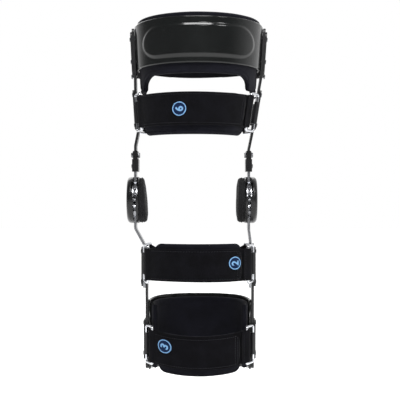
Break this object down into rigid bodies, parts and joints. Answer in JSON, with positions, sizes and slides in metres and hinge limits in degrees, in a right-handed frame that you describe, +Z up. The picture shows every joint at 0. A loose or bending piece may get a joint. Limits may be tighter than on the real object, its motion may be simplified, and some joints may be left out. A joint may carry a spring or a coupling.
{
  "type": "hinged knee brace",
  "caption": "Hinged knee brace with a front thigh cuff, a rear calf cuff, geared two-pivot side hinges, condyle pads and hook-and-loop straps on wire rings.",
  "frame": {"origin": "on the knee axis, midway between the two side hinges", "axes": "+Z up the thigh, -Y towards the front of the leg, +X towards the wearer's left side of this left-leg brace"},
  "size_m": [0.1636, 0.1621, 0.406],
  "materials": {
    "shell_plastic": "glossy black moulded shell",
    "moulded_plastic": "satin black moulding",
    "black_metal": "black powder coat, low gloss",
    "bright_steel": "bright, finely brushed",
    "dark_steel": "dark burnished steel",
    "chrome_wire": "chromed wire",
    "strap_fabric": "black loop pile webbing",
    "lining_fabric": "near-black brushed lining over foam",
    "condyle_foam": "charcoal soft pad",
    "printed_label": "navy label with a pale blue printed numeral"
  },
  "bodies": {
    "thigh_frame": {"arm_sleeve_left": "moulded_plastic", "arm_sleeve_right": "moulded_plastic", "clamp_bolts": "dark_steel", "label_6": "printed_label", "ring_bracket_thigh_left": "black_metal", "ring_bracket_thigh_right": "black_metal", "strap_4": "strap_fabric", "strap_4_rings": "chrome_wire", "strap_5": "strap_fabric", "strap_6": "strap_fabric", "strap_6_pad": "lining_fabric", "strap_6_rings": "chrome_wire", "strap_tab_left": "black_metal", "strap_tab_right": "black_metal", "thigh_cuff_liner": "lining_fabric", "thigh_cuff_shell": "shell_plastic", "thigh_gear_arm_left": "bright_steel", "thigh_gear_arm_right": "bright_steel", "thigh_rivets": "dark_steel", "thigh_upright_left": "black_metal", "thigh_upright_right": "black_metal"},
    "hinge_left": {"condyle_pad_left": "condyle_foam", "cover_screw_left": "dark_steel", "extension_stops_left": "bright_steel", "hinge_cover_inner_left": "moulded_plastic", "hinge_cover_outer_left": "moulded_plastic", "hinge_plate_inner_left": "bright_steel", "hinge_plate_outer_left": "bright_steel", "pivot_pins_left": "dark_steel", "spacer_posts_left": "dark_steel"},
    "hinge_right": {"condyle_pad_right": "condyle_foam", "cover_screw_right": "dark_steel", "extension_stops_right": "bright_steel", "hinge_cover_inner_right": "moulded_plastic", "hinge_cover_outer_right": "moulded_plastic", "hinge_plate_inner_right": "bright_steel", "hinge_plate_outer_right": "bright_steel", "pivot_pins_right": "dark_steel", "spacer_posts_right": "dark_steel"},
    "calf_frame": {"calf_cuff_liner": "lining_fabric", "calf_cuff_shell": "shell_plastic", "calf_gear_arm_left": "bright_steel", "calf_gear_arm_right": "bright_steel", "calf_rivets": "dark_steel", "calf_upright_left": "black_metal", "calf_upright_right": "black_metal", "label_2": "printed_label", "label_3": "printed_label", "ring_bracket_lower_calf_left": "black_metal", "ring_bracket_lower_calf_right": "black_metal", "ring_bracket_upper_calf_left": "black_metal", "ring_bracket_upper_calf_right": "black_metal", "strap_1": "strap_fabric", "strap_1_rings": "chrome_wire", "strap_2": "strap_fabric", "strap_2_pad": "lining_fabric", "strap_2_rings": "chrome_wire", "strap_3": "strap_fabric", "strap_3_pad": "lining_fabric", "strap_3_rings": "chrome_wire"}
  },
  "joints": [
    {"name": "hinge_left_upper", "type": "hinge", "parent": "thigh_frame", "child": "hinge_left", "pos_m": [-0.06595, 0, 0.011], "axis": [1, 0, 0], "range_deg": [0, 55]},
    {"name": "hinge_right_upper", "type": "hinge", "parent": "thigh_frame", "child": "hinge_right", "pos_m": [0.06595, 0, 0.011], "axis": [1, 0, 0], "range_deg": [0, 55]},
    {"name": "knee_flexion", "type": "hinge", "parent": "hinge_left", "child": "calf_frame", "pos_m": [-0.06595, 0, -0.011], "axis": [1, 0, 0], "range_deg": [0, 55]}
  ],
  "couplings": [
    {"joint": "hinge_left_upper", "follows": "knee_flexion", "ratio": 1},
    {"joint": "hinge_right_upper", "follows": "knee_flexion", "ratio": 1}
  ]
}
